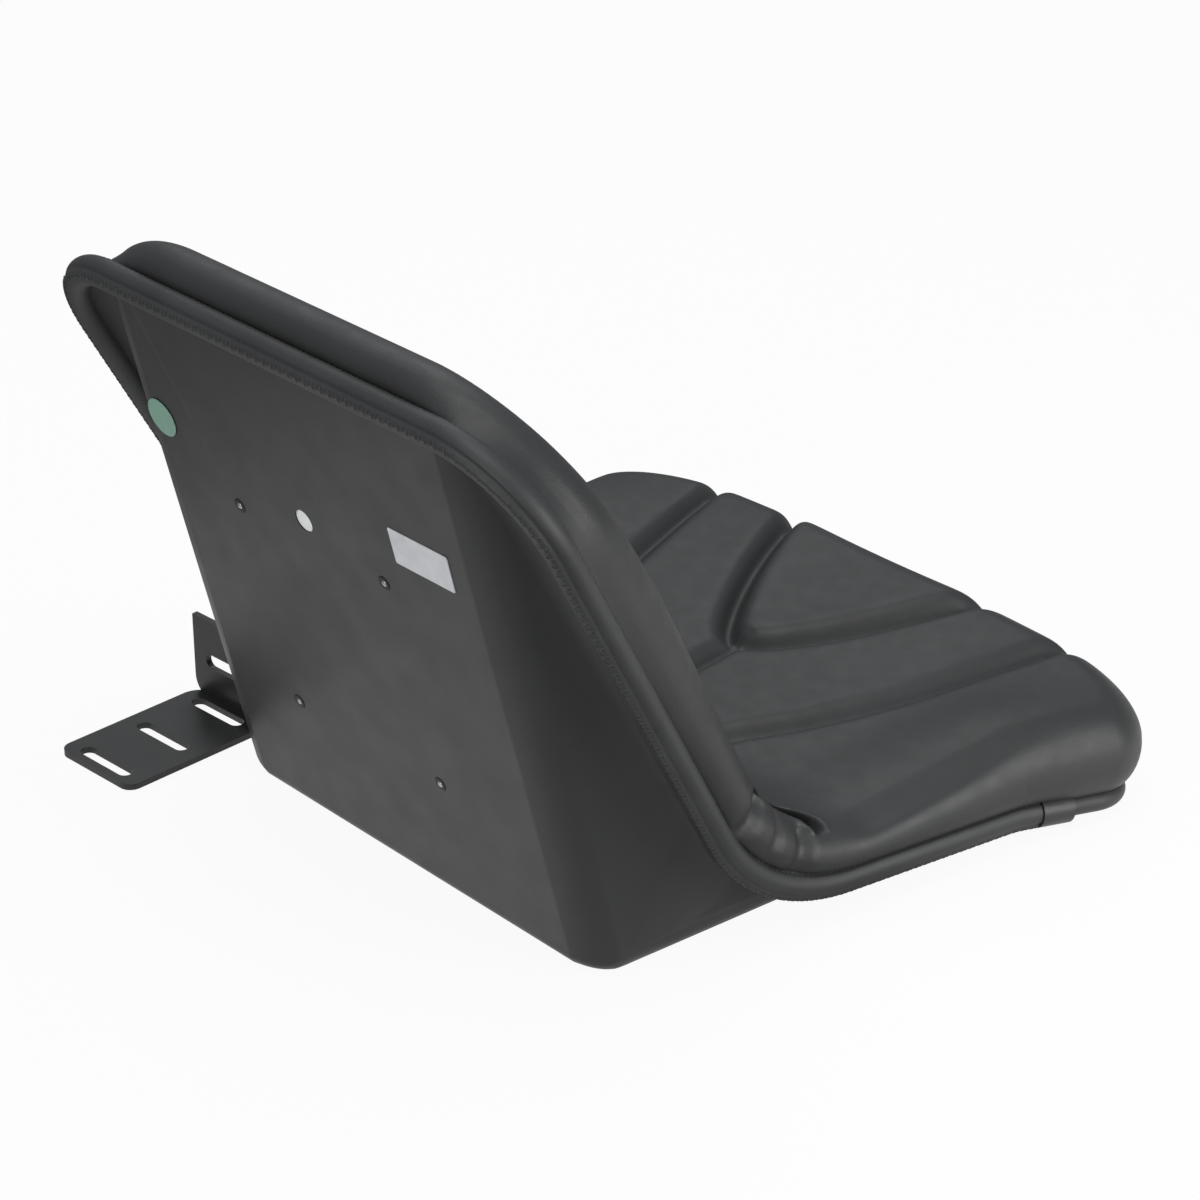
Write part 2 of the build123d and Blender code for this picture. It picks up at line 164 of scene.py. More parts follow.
bpy.context.scene.collection.objects.link(pan)
even = pan.modifiers.new("even_shading", "WEIGHTED_NORMAL")
even.keep_sharp = True
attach(pan, "root")
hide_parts("seat_pan")


# Weld nuts
# Hexagon nuts of plated steel, welded to the inside of the sheet behind the bolt holes in the back,
# the bottom and the left side wall.
plated, tree, shader, place = new_finish("plated_steel", (0.55, 0.55, 0.53), roughness=0.34, metallic=1.0)
vary(tree, shader, "Base Color", place, (0.42, 0.42, 0.40, 1), (0.62, 0.62, 0.60, 1), scale=160.0)
raise_grain(tree, shader, mottle(tree, place, scale=900.0), depth=0.0002, strength=0.15)
for node in ("back_weld_nuts", "base_weld_nuts", "side_weld_nuts"):
    dress_node(node, plated)


# Foam behind the vent hole
# The moulding foam fills the pan, so its pale skin shows as a shallow dome in the one open hole of the
# back panel. The hole is 14 mm wide, and the foam stands nearly level with the sheet.
vent_place, foam_radius = (-0.008, 0.244), 0.00695
panel_up = np.array([0.0, np.sin(panel_lean), np.cos(panel_lean)])
panel_right = np.array([-1.0, 0.0, 0.0])


def on_panel(across, up, out):
    """Points of the back panel's own frame: across to the viewer's right, up the panel, out of it."""
    across, up, out = np.broadcast_arrays(across, up, out)
    return (
        panel_foot
        + across[..., None] * panel_right
        + up[..., None] * panel_up
        + out[..., None] * panel_out
    )


def grid_faces(rows, columns, around=False):
    """Quads of a grid of points stored row by row; around joins the last column to the first."""
    index = np.arange(rows * columns).reshape(rows, columns)
    if around:
        right = np.roll(index, -1, axis=1)
        quads = np.stack([index[:-1], right[:-1], right[1:], index[1:]], -1)
    else:
        quads = np.stack([index[:-1, :-1], index[:-1, 1:], index[1:, 1:], index[1:, :-1]], -1)
    return quads.reshape(-1, 4)


def new_piece(name, points, faces, material, smooth=True):
    """A mesh object at the origin, from an array of points and a list of faces, its faces outward."""
    mesh = bpy.data.meshes.new(name)
    mesh.from_pydata(np.asarray(points, float).reshape(-1, 3).tolist(), [], [list(f) for f in faces])
    work = bmesh.new()
    work.from_mesh(mesh)
    bmesh.ops.remove_doubles(work, verts=work.verts, dist=1e-7)
    bmesh.ops.recalc_face_normals(work, faces=work.faces)
    work.to_mesh(mesh)
    work.free()
    mesh.polygons.foreach_set("use_smooth", np.full(len(mesh.polygons), smooth))
    mesh.materials.append(material)
    piece = bpy.data.objects.new(name, mesh)
    bpy.context.scene.collection.objects.link(piece)
    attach(piece, "root")
    return piece


def domed_disc(place, radius, thick, dome, level, rings, spokes):
    """A closed round plate on the panel: rings from its domed middle out, its edge, and a flat back."""
    share = np.concatenate([np.linspace(0, 1, rings), [1, 0]])[:, None]
    height = np.concatenate([dome * (1 - np.linspace(0, 1, rings) ** 2), [-thick, -thick]])[:, None]
    turn = np.linspace(0, 2 * np.pi, spokes, endpoint=False)[None, :]
    across, up = radius * share * np.cos(turn), radius * share * np.sin(turn)
    points = on_panel(across + place[0], up + place[1], height + level)
    return points, grid_faces(rings + 2, spokes, around=True)


foam_pale, tree, shader, place = new_finish("pale_foam", (0.84, 0.85, 0.82), roughness=0.9)
vary(tree, shader, "Base Color", place, (0.78, 0.79, 0.76, 1), (0.88, 0.89, 0.86, 1), scale=500.0)
raise_grain(tree, shader, mottle(tree, place, scale=1500.0), depth=0.0003, strength=0.4)
foam_points, foam_faces = domed_disc(
    vent_place, foam_radius, thick=0.002, dome=0.0005, level=-0.0006, rings=8, spokes=40
)
new_piece("vent_foam", foam_points, foam_faces, foam_pale)


# Painted hole shade and thread ends in the back holes
# A near-black disc of painted shade covers each of the four threaded holes and stands in for the shade
# inside it, with a small bright plated end in its middle.
# The holes are given as places across and up the panel.
hole_places = [(across, up) for across in (-0.071, 0.055) for up in (0.091, 0.229)]
shade_disc_radius, end_radius, end_shift = 0.0046, 0.0019, np.array([0.0003, 0.0002])
# Near-black painted shade: these discs stand in for the shade inside the threaded holes.
painted_hole_shade, tree, shader, place = new_finish("painted_hole_shade", (0.006, 0.006, 0.006), roughness=0.5)
raise_grain(tree, shader, mottle(tree, place, scale=900.0), depth=0.0003, strength=0.3)
shade_disc_points, disc_faces, end_points = [], [], []
for number, hole in enumerate(hole_places):
    points, faces = domed_disc(
        hole, shade_disc_radius, thick=0.0003, dome=0.0001, level=0.0002, rings=5, spokes=28
    )
    shade_disc_points.append(points)
    disc_faces += (faces + number * points[..., 0].size).tolist()
    points, faces = domed_disc(
        hole + end_shift, end_radius, thick=0.0004, dome=0.0006, level=0.0004, rings=5, spokes=28
    )
    end_points.append(points)
new_piece("painted_hole_shade_discs", np.stack(shade_disc_points), disc_faces, painted_hole_shade)
new_piece("thread_ends", np.stack(end_points), disc_faces, plated)


# Rim binding
# A vinyl strip folded over the rim of the pan and sewn on both sides, from one front joint to the other.
# It bulges to a bead, with a raised hem towards the pan and a crease beside the hem.
rim_top, rim_hip = np.array([0.2563, 0.344]), np.array([0.084, 0.028])
rim_knee, rim_front = np.array([-0.105, 0.019]), np.array([-0.185, 0.010])
rim_half = [0.198, 0.191, 0.208, 0.226]
rim_side = [rim_top, rim_hip, rim_knee, rim_front]
rim_right = [np.array([-half, *corner]) for half, corner in zip(rim_half, rim_side)]
rim_left = [np.array([half, *corner]) for half, corner in zip(rim_half, rim_side)]
knee_bend, hip_bend, top_bend = 0.090, 0.115, 0.058
bead_radius, bead_step, joint_place, joint_gap = 0.0085, 0.003, 0.027, 0.001


def unit(vectors):
    """Vectors scaled to length 1."""
    return vectors / np.maximum(np.linalg.norm(vectors, axis=-1, keepdims=True), 1e-12)


def rounded_path(points, radii, step):
    """A polyline with its corners rounded to the given radii, sampled about every step metres.

    Each corner is an arc tangent to both runs: it starts radius * tan(turn / 2) before the corner, and
    its points are start + radius * (sin a * come + (1 - cos a) * side) in the plane of the two runs."""
    points = [np.asarray(p, float) for p in points]
    pieces = []
    last = points[0]
    for before, corner, after, radius in zip(points, points[1:], points[2:], radii):
        come, leave = unit(corner - before), unit(after - corner)
        turn = np.arccos(np.clip(come @ leave, -1, 1))
        reach = radius * np.tan(turn / 2)
        start, end = corner - come * reach, corner + leave * reach
        side = unit(leave - come * (leave @ come))
        count = max(2, int(np.ceil(np.linalg.norm(start - last) / step)))
        pieces.append(last + (start - last) * np.linspace(0, 1, count, endpoint=False)[:, None])
        angle = np.linspace(0, turn, max(3, int(np.ceil(radius * turn / step))), endpoint=False)[:, None]
        pieces.append(start + radius * (np.sin(angle) * come + (1 - np.cos(angle)) * side))
        last = end
    count = max(2, int(np.ceil(np.linalg.norm(points[-1] - last) / step)) + 1)
    pieces.append(last + (points[-1] - last) * np.linspace(0, 1, count)[:, None])
    return np.concatenate(pieces)


def run_length(path):
    """Distance along a path from its start to each point."""
    return np.concatenate([[0], np.cumsum(np.linalg.norm(np.diff(path, axis=0), axis=1))])


def resample(path, where):
    """Points of a path at the given distances along it."""
    at = run_length(path)
    return np.stack([np.interp(where, at, path[:, k]) for k in range(path.shape[1])], -1)


def on_front_run(side, distance):
    """A point on the straight run from the knee to the front corner."""
    return side[2] + unit(side[3] - side[2]) * distance


bead_path = rounded_path(
    [
        on_front_run(rim_right, joint_place - joint_gap / 2),
        *rim_right[2::-1],
        *rim_left[:3],
        on_front_run(rim_left, joint_place - joint_gap / 2),
    ],
    [knee_bend, hip_bend, top_bend, top_bend, hip_bend, knee_bend],
    bead_step,
)


def path_frames(path):
    """Tangent, the direction towards the cushion and the direction out of the seat along a rim path.

    Seen from the side, the second is square to the path, and points forward and up. Where the path runs
    nearly straight across, it is taken over from the nearest slopes."""
    forward_up, least_slope, seat_middle = np.array([-0.5, 0.85]), 0.15, np.array([0.0, 0.05, 0.12])
    tangent = unit(np.gradient(path, axis=0))
    slope = tangent[:, 1:]
    turned = np.stack([-slope[:, 1], slope[:, 0]], -1)
    turned *= np.sign(turned @ forward_up)[:, None]
    clear = np.linalg.norm(slope, axis=1) > least_slope
    where = np.arange(len(path))
    normal = np.stack([np.interp(where, where[clear], unit(turned)[clear, k]) for k in (0, 1)], -1)
    normal = np.concatenate([np.zeros((len(path), 1)), normal], -1)
    normal = unit(normal - tangent * (normal * tangent).sum(-1, keepdims=True))
    out = np.cross(tangent, normal)
    out *= np.sign(((path - seat_middle) * out).sum(-1).mean())
    return tangent, normal, out


def swept(path, radius_at, spokes=72):
    """A closed tube: at each point of the path a ring of radius_at(angle), 0 out of the seat, 90 up."""
    tangent, normal, out = path_frames(path)
    angle = np.linspace(0, 2 * np.pi, spokes, endpoint=False)
    radius = radius_at(angle)
    ring = (
        path[:, None, :]
        + (radius * np.cos(angle))[None, :, None] * out[:, None, :]
        + (radius * np.sin(angle))[None, :, None] * normal[:, None, :]
    )
    total = len(path) * spokes
    faces = grid_faces(len(path), spokes, around=True).tolist()
    faces += [list(range(spokes)), list(range(total - spokes, total))]
    return ring.reshape(-1, 3), faces


def sewn_bead(angle):
    """A round bead with a raised hem at -62 degrees, a crease beside it and a fold line at 60 degrees."""
    profile = np.full(angle.shape, bead_radius)
    for place, height, width in ((-62, 0.0011, 0.20), (-37, -0.0009, 0.13), (60, -0.0006, 0.14)):
        apart = np.angle(np.exp(1j * (angle - radians(place))))
        profile += height * np.exp(-((apart / width) ** 2))
    return profile


def raise_pores(tree, shader, place, scale, depth, strength):
    """Bump with pores in cells about one over scale metres across."""
    pores = tree.nodes.new("ShaderNodeTexVoronoi")
    pores.inputs["Scale"].default_value = scale
    tree.links.new(place, pores.inputs["Vector"])
    return raise_grain(tree, shader, pores.outputs["Distance"], depth, strength)


binding_vinyl, tree, shader, place = new_finish("binding_vinyl", (0.026, 0.026, 0.027), roughness=0.52)
vary(tree, shader, "Base Color", place, grey(0.024), grey(0.031), scale=30.0, detail=4.0)
raise_pores(tree, shader, place, scale=1100.0, depth=0.0003, strength=0.2)
bead_points, bead_faces = swept(bead_path, sewn_bead)
binding = new_piece("binding_bead", bead_points, bead_faces, binding_vinyl)
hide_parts("rim_binding")


# Stitches of the binding
# Grey thread through both sides of the folded strip: a zigzag over the hem and short ticks beside the
# cushion, each stitch sunk into the vinyl at its ends.
stitch_rings, stitch_spokes, stitch_taper, plain_end = 5, 6, 0.85, 0.012
thread, tree, shader, place = new_finish("thread", (0.04, 0.04, 0.041), roughness=0.7)
vary(tree, shader, "Base Color", place, grey(0.034), grey(0.052), scale=2500.0)


def stitch_row(bend, lift, slant, length, pitch, radius):
    """Points of a row of stitches, each a bowed spindle of a few rings.

    The row lies at the bend angle round the bead; the stitches lean by slant to one side and the other."""
    at = np.arange(plain_end, run_length(bead_path)[-1] - plain_end, pitch)
    middle = resample(bead_path, at)
    tangent, normal, out = path_frames(middle)
    away = np.cos(bend) * out + np.sin(bend) * normal
    around = -np.sin(bend) * out + np.cos(bend) * normal
    sway = np.where(np.arange(len(at)) % 2 == 0, 1.0, -1.0)[:, None]
    way = unit(around + slant * sway * tangent)
    flank = np.cross(away, way)
    ends = np.linspace(-1, 1, stitch_rings)
    girth = radius * np.sqrt(np.maximum(1 - stitch_taper * ends**2, 0))[:, None]
    turns = np.linspace(0, 2 * np.pi, stitch_spokes, endpoint=False)[None, :]
    core = middle + away * (bead_radius + lift)
    return (
        core[:, None, None, :]
        + (length / 2 * ends)[None, :, None, None] * way[:, None, None, :]
        - ((length / 2 * ends) ** 2 / (2 * bead_radius))[None, :, None, None] * away[:, None, None, :]
        + (girth * np.cos(turns))[None, :, :, None] * flank[:, None, None, :]
        + (girth * np.sin(turns))[None, :, :, None] * away[:, None, None, :]
    ).reshape(-1, stitch_rings * stitch_spokes, 3)


zigzag = stitch_row(radians(-62.0), lift=0.0009, slant=0.45, length=0.0046, pitch=0.0034, radius=0.00042)
ticks = stitch_row(radians(66.0), lift=-0.0004, slant=0.12, length=0.0036, pitch=0.0046, radius=0.00040)
stitch_points = np.concatenate([zigzag, ticks])
stitch_size = stitch_rings * stitch_spokes
stitch_sides = grid_faces(stitch_rings, stitch_spokes, around=True)
stitch_caps = np.stack([np.arange(stitch_spokes), np.arange(stitch_size - stitch_spokes, stitch_size)])
first_point = (np.arange(len(stitch_points)) * stitch_size)[:, None, None]
stitch_faces = (stitch_sides[None] + first_point).reshape(-1, 4).tolist()
stitch_faces += (stitch_caps[None] + first_point).reshape(-1, stitch_spokes).tolist()
stitches = new_piece("binding_stitches", stitch_points, stitch_faces, thread)


# Front binding
# The slimmer plain bead that closes the rim across the front, from sleeve to sleeve. It stands a little
# further forward than the rim's edge.
front_radius, front_beyond, front_bend = 0.0065, 0.012, 0.028
front_path = rounded_path(
    [
        on_front_run(rim_right, joint_place + joint_gap / 2),
        rim_right[3] + unit(rim_right[3] - rim_right[2]) * front_beyond,
        rim_left[3] + unit(rim_left[3] - rim_left[2]) * front_beyond,
        on_front_run(rim_left, joint_place + joint_gap / 2),
    ],
    [front_bend, front_bend],
    bead_step,
)
front_points, front_faces = swept(front_path, lambda angle: np.full(angle.shape, front_radius))
front_bead = new_piece("front_bead", front_points, front_faces, binding_vinyl)
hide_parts("front_binding")


# Binding sleeves
# A short length of shrink tube over each joint of the two beads, at both sides of the front. It is
# smoother than the vinyl and a little uneven.
sleeve_skin, tree, shader, place = new_finish("shrunk_sleeve", (0.022, 0.022, 0.023), roughness=0.42)
vary(tree, shader, "Base Color", place, grey(0.019), grey(0.025), scale=120.0)
raise_grain(tree, shader, mottle(tree, place, scale=300.0), depth=0.0006, strength=0.25)
dress_node("binding_sleeve_right", sleeve_skin)
dress_node("binding_sleeve_left", sleeve_skin)


# Cushion
# Moulded foam with a bonded vinyl skin: a back that turns into the seat at the hip, edges that roll out
# and down to the bead all round, pressed grooves, and a tuck with puckers at each hip.
def ease(value):
    """Smooth step from 0 to 1."""
    value = np.clip(value, 0, 1)
    return value * value * (3 - 2 * value)


def bell(distance, width):
    """A soft bump, exp(-(distance / width)^2)."""
    return np.exp(-((distance / width) ** 2))


def average_weights(count):
    """Weights of a moving average that fades towards its ends."""
    weights = np.hanning(count)
    return weights / weights.sum()


# The middle section seen from the side: the skin's ridge above, and the lip that follows the rim below.
back_way = unit(rim_top - rim_hip)
back_face_way = np.array([-back_way[1], back_way[0]])
lip_level, lip_bends = 0.0066, [0.1084, 0.0966, 0.040]
back_thickness, back_rise = 0.038, 0.012
nose_y, nose_z, seat_slope = -0.228, 0.0755, np.tan(radians(5.6))
lap_fold, section_step = 0.084, 0.001
top_start = rim_top + back_face_way * back_thickness + back_way * back_rise
drop = top_start[1] - nose_z + seat_slope * (top_start[0] - nose_y)
fold = top_start - back_way * drop / (back_way[1] + seat_slope * back_way[0])
upper = rounded_path([top_start, fold, (nose_y, nose_z)], [lap_fold], section_step)
rim_normals = [back_face_way]
for low, high in ((rim_hip, rim_knee), (rim_knee, rim_front)):
    step = unit(high - low)
    rim_normals.append(np.array([step[1], -step[0]]))
lower_corners = [rim_top + back_face_way * lip_level + back_way * back_rise]
for corner, first, second in zip((rim_hip, rim_knee), rim_normals, rim_normals[1:]):
    lower_corners.append(corner + lip_level * (first + second) / (1 + first @ second))
front_corner = rim_front + rim_normals[2] * lip_level
lower_corners += [front_corner, np.array([nose_y, front_corner[1]])]
lower = rounded_path(lower_corners, lip_bends, section_step)

# Rows of the skin lie closer on the seat and at the tuck, and closest at the top edge and the nose.
# Each such stretch has a gain in closeness and a length over which the gain comes or goes.
row_count, column_count, fine_count, foot_window = 316, 266, 4000, 25
seat_start_y, seat_gain, seat_run = 0.085, 1.3, 0.03
tuck_at, tuck_gain, tuck_run = 0.334, 2.6, 0.036
top_gain, nose_gain, end_run = 2.5, 1.5, 0.012
upper_length = run_length(upper)[-1]
fine_at = np.linspace(0, upper_length, fine_count)
seat_starts = upper_length + nose_y - seat_start_y
closeness = np.cumsum(
    1
    + seat_gain * ease((fine_at - seat_starts) / seat_run)
    + tuck_gain * bell(fine_at - tuck_at, tuck_run)
    + top_gain * np.exp(-fine_at / end_run)
    + nose_gain * np.exp((fine_at - upper_length) / end_run)
)
row_at = np.interp(np.linspace(closeness[0], closeness[-1], row_count), closeness, fine_at)
ridge = resample(upper, row_at)
nearest = np.argmin(((ridge[:, None, :] - lower[None, :, :]) ** 2).sum(-1), axis=1)
foot_at = np.pad(run_length(lower)[nearest], foot_window // 2, mode="reflect", reflect_type="odd")
foot = resample(lower, np.convolve(foot_at, average_weights(foot_window), mode="valid"))
thick = np.linalg.norm(ridge - foot, axis=1)
lift = unit(ridge - foot)
along = unit(np.gradient(ridge, axis=0))

# Half width of the cushion seen from above, and the rounded corners at the top and at the nose.
width_y, width_half = [nose_y, -0.105, 0.084, 0.25], [0.243, 0.219, 0.198, 0.194]
half_width = np.interp(ridge[:, 0], width_y, width_half)
top_corner, nose_corner = (0.095, 0.095), (0.105, 0.058)
from_top, from_nose = row_at, upper_length - row_at
corner_cut = np.zeros(row_count)
for (reach_x, reach_at), end in ((top_corner, from_top), (nose_corner, from_nose)):
    inside = np.maximum(1 - end / reach_at, 0)
    corner_cut += reach_x * (1 - np.sqrt(1 - inside**2))
column = np.linspace(-1, 1, column_count)
column = 0.5 * np.sin(np.pi / 2 * column) + 0.5 * column
sideways = column[None, :] * (half_width - corner_cut)[:, None]
lengthways = row_at[:, None] + 0 * sideways
from_side = half_width[:, None] - np.abs(sideways)

# Distance of the skin's points from the outline, with oval corners at both ends: inside an oval it is
# (1 - r) * r over the length of (dx / a^2, dy / b^2), where r is the oval's own radius at the point.
edge = np.minimum(from_side, np.minimum(from_top, from_nose)[:, None])
for (reach_x, reach_at), end in ((top_corner, from_top[:, None]), (nose_corner, from_nose[:, None])):
    dx, dy = np.maximum(reach_x - from_side, 0), np.maximum(reach_at - end, 0)
    oval = np.hypot(dx / reach_x, dy / reach_at)
    slope = np.maximum(np.hypot(dx / reach_x**2, dy / reach_at**2), 1e-9)
    edge = np.where((dx > 0) & (dy > 0), (1 - oval) * oval / slope, edge)
edge = np.maximum(edge, 0)

# The skin's height above the lip: a roll at the edge, a bolster that stands up along both sides and is
# highest on the back and on the seat, a crown at the nose, and a valley along the seat's sides.
belly, side_roll, nose_roll, nose_reach = 0.38, 0.024, 0.012, 0.07
bolster_at = [0.05, 0.13, 0.20, 0.30, 0.42, 0.53, 0.61]
bolster_rise = [0.0, 0.011, 0.006, 0.0, 0.005, 0.010, 0.0]
bolster_width, bolster_fade, bolster_window = 0.030, 0.060, 61
crown_y, crown_run, crown_rise, crown_fall, crown_half = -0.10, 0.10, 0.004, 0.007, 0.192
valley_depth, valley_place, valley_half = 0.004, 0.012, 0.007
valley_rear_y, valley_rear_run, valley_front_y, valley_front_run = 0.03, 0.03, -0.17, 0.15
roll_width = side_roll + nose_roll * ease((nose_reach - from_nose) / nose_reach)[:, None]
roll = np.sqrt(1 - (1 - np.clip(edge / roll_width, 0, 1)) ** 2)
level = thick[:, None] * (belly + (1 - belly) * roll)
bolster = np.interp(row_at, bolster_at, bolster_rise)
bolster = np.convolve(bolster, average_weights(bolster_window), mode="same")
level += bolster[:, None] * (1 - ease((from_side - bolster_width) / bolster_fade)) * roll
at_nose = ease((crown_y - ridge[:, 0]) / crown_run)[:, None]
level += at_nose * roll * (crown_rise - crown_fall * (np.abs(sideways) / crown_half) ** 2)
valley_runs = ease((valley_rear_y - ridge[:, 0]) / valley_rear_run)
valley_runs *= ease((ridge[:, 0] - valley_front_y) / valley_front_run)
level -= valley_depth * bell(from_side - valley_place, valley_half) * valley_runs[:, None]

# Grooves are pressed along curves given as (distance from the middle line, y) on the seat.
stem = np.array([(0, 0.045), (0, -0.02), (0, -0.083)])
arm = np.array([(0, -0.080), (0.019, -0.096), (0.045, -0.134), (0.068, -0.180), (0.092, -0.240)])
outer_rear = [(0.056, 0.045), (0.072, -0.005), (0.095, -0.045)]
outer = np.array(outer_rear + [(0.117, -0.095), (0.135, -0.155), (0.158, -0.240)])
groove_fade, swell_fade, swell_reach = 0.08, 0.2, 0.040


def smooth_curve(knots, samples=24):
    """A smooth curve through its knots, by Catmull-Rom pieces."""
    padded = np.concatenate([[2 * knots[0] - knots[1]], knots, [2 * knots[-1] - knots[-2]]])
    t = np.linspace(0, 1, samples, endpoint=False)[:, None]
    spans = []
    for a, b, c, d in zip(padded, padded[1:], padded[2:], padded[3:]):
        bend = (2 * a - 5 * b + 4 * c - d) * t**2 + (3 * b - a - 3 * c + d) * t**3
        spans.append(b + 0.5 * ((c - a) * t + bend))
    return np.concatenate(spans + [knots[-1:]])


def groove_curve(knots):
    """A smooth curve through (x, y) knots, as (x, distance along the skin)."""
    curve = smooth_curve(knots)
    return np.stack([curve[:, 0], np.interp(curve[:, 1], ridge[::-1, 0], row_at[::-1])], -1)


def groove_reach(curve):
    """Distance of every skin point from a curve, the side it is on, and how far along the curve it is."""
    best = np.full(sideways.shape, 9.0)
    side = np.zeros(sideways.shape)
    share = np.zeros(sideways.shape)
    for k, (start, step) in enumerate(zip(curve, np.diff(curve, axis=0))):
        dx, dy = sideways - start[0], lengthways - start[1]
        t = np.clip((dx * step[0] + dy * step[1]) / (step @ step), 0, 1)
        far = np.hypot(dx - t * step[0], dy - t * step[1])
        nearer = far < best
        best = np.where(nearer, far, best)
        side = np.where(nearer, np.sign(dx * step[1] - dy * step[0]), side)
        share = np.where(nearer, (k + t) / (len(curve) - 1), share)
    return best, side, share


def press(curve, depth, width, swell=0.0, inner=0):
    """Depth of a soft groove that fades in at its start.

    The skin on its inner side swells by the given height, dying away over 40 mm."""
    far, side, share = groove_reach(curve)
    hollow = depth * bell(far, width) * ease(share / groove_fade)
    lifted = swell * bell(far, swell_reach) * (side == inner) * (1 - bell(far, width))
    return hollow - lifted * ease(share / swell_fade)


pressed = press(groove_curve(stem), depth=0.0095, width=0.0072)
for mirror in (1, -1):
    arm_curve, outer_curve = groove_curve(arm * [mirror, 1]), groove_curve(outer * [mirror, 1])
    for branch in (
        press(arm_curve, depth=0.0105, width=0.0070, swell=0.0020, inner=-mirror),
        press(outer_curve, depth=0.0090, width=0.0070),
    ):
        pressed = np.where(np.abs(branch) > np.abs(pressed), branch, pressed)
level -= pressed
skin = foot[:, None, :] + level[..., None] * lift[:, None, :]
skin_points = np.concatenate([sideways[..., None], skin], -1)

# The tuck at each hip: a crescent pit along a curve given as (distance from the middle line, distance
# along the skin). It opens slowly, closes fast, and dives inwards under a lip of the seat.
tuck_rear = [(0.1900, 0.306), (0.1835, 0.322), (0.1780, 0.343)]
tuck = np.array(tuck_rear + [(0.1790, 0.360), (0.1875, 0.3680), (0.1960, 0.3690)])
tuck_depth, tuck_half, tuck_wall, lip_rise, lip_reach = 0.016, 0.0052, 0.0008, 0.00112, 0.0030
opens_over, closes_over, fades_in, fades_out = 0.60, 0.20, 0.12, 0.05
dive_in, dive_down = 0.8, 0.6
for mirror in (1, -1):
    far, side, share = groove_reach(smooth_curve(tuck * [mirror, 1]))
    opening = tuck_half * ease(share / opens_over) * np.sqrt(np.clip((1 - share) / closes_over, 0, 1))
    ends = ease(share / fades_in) * ease((1 - share) / fades_out)
    sunk = tuck_depth * ends / (1 + np.exp(np.clip((far - opening) / tuck_wall, -30, 30)))
    lip = lip_rise * ends * bell(far - opening - lip_reach, lip_reach)
    skin_points[..., 0] += mirror * (lip - dive_in * sunk)
    skin_points[..., 1:] += (lip - dive_down * sunk)[..., None] * lift[:, None, :]

# Puckers between the tuck and the bead, given as (distance along the skin, depth, width).
puckers = ((0.312, 0.0070, 0.0052), (0.334, 0.0030, 0.0036), (0.355, 0.0065, 0.0055))
pucker_place, pucker_half = 0.004, 0.006
pucker = np.zeros(row_count)
for middle, depth, width in puckers:
    pucker += depth * bell(row_at - middle, width)
skin_points[..., 0] -= np.sign(sideways) * pucker[:, None] * bell(from_side - pucker_place, pucker_half)

# The border of the skin rolls down to a seam on the bead, then under it and out of sight.
border = np.concatenate(
    [
        np.arange(column_count),
        np.arange(1, row_count) * column_count + column_count - 1,
        (row_count - 1) * column_count + np.arange(column_count - 2, -1, -1),
        np.arange(row_count - 2, 0, -1) * column_count,
    ]
)
border_row = border // column_count
border_x, border_at = sideways.reshape(-1)[border], row_at[border_row]
wide = half_width[border_row]
to_end = np.minimum(border_at, upper_length - border_at)
at_top = border_at < upper_length / 2
reach_x, reach_at = np.where(at_top, np.array(top_corner)[:, None], np.array(nose_corner)[:, None])
beyond_x = np.maximum(np.abs(border_x) - (wide - reach_x), 0) * np.sign(border_x) / reach_x**2
beyond_at = np.maximum(reach_at - to_end, 0) * np.where(at_top, -1, 1) / reach_at**2
in_corner = (to_end < reach_at)[:, None]
plain_side = np.stack([np.sign(border_x), 0 * border_x], -1)
outwards = unit(np.where(in_corner, np.stack([beyond_x, beyond_at], -1), plain_side))
out_3d = np.concatenate([outwards[:, :1], outwards[:, 1:] * along[border_row]], -1)
lift_3d = np.concatenate([0 * border_x[:, None], lift[border_row]], -1)
start_points = skin_points.reshape(-1, 3)[border]
start_level = level.reshape(-1)[border][:, None]

seam_out, seam_step, seam_window, roll_steps, hem_in, hem_down = 0.0010, 0.001, 15, 9, 0.006, 0.003
seam = []
for path, height in ((bead_path, 0.0068), (front_path, 0.0052)):
    path = resample(path, np.arange(0, run_length(path)[-1], seam_step))
    tangent, normal, out = path_frames(path)
    seam.append(path + height * normal + seam_out * out)
seam = np.concatenate(seam)
under = start_points - lift_3d * start_level
target = seam[np.argmin(((under[:, None, :] - seam[None, :, :]) ** 2).sum(-1), axis=1)]
wrapped = np.concatenate([target[-(seam_window // 2) :], target, target[: seam_window // 2]])
weights = average_weights(seam_window)
target = np.stack([np.convolve(wrapped[:, k], weights, mode="valid") for k in range(3)], -1)
apart = start_points - target
fall = (apart * lift_3d).sum(-1, keepdims=True)
inset = np.maximum((apart * out_3d).sum(-1, keepdims=True), 0)
rest = apart - fall * lift_3d - inset * out_3d
rings = []
for angle in np.linspace(0, np.pi / 2, roll_steps + 1)[1:]:
    bowed = fall * np.sin(angle) * lift_3d + inset * (1 - np.cos(angle)) * out_3d
    rings.append(start_points - bowed - rest * angle * 2 / np.pi)
rings.append(rings[-1] - out_3d * hem_in - lift_3d * hem_down)
ring_points = np.stack(rings)
ring_count, border_count = ring_points.shape[:2]
ring_index = np.arange(ring_count * border_count).reshape(ring_count, border_count)
ring_index += row_count * column_count
loops = np.concatenate([border[None, :], ring_index])
after = np.roll(loops, -1, axis=1)
roll_faces = np.stack([loops[:-1], after[:-1], after[1:], loops[1:]], -1).reshape(-1, 4)

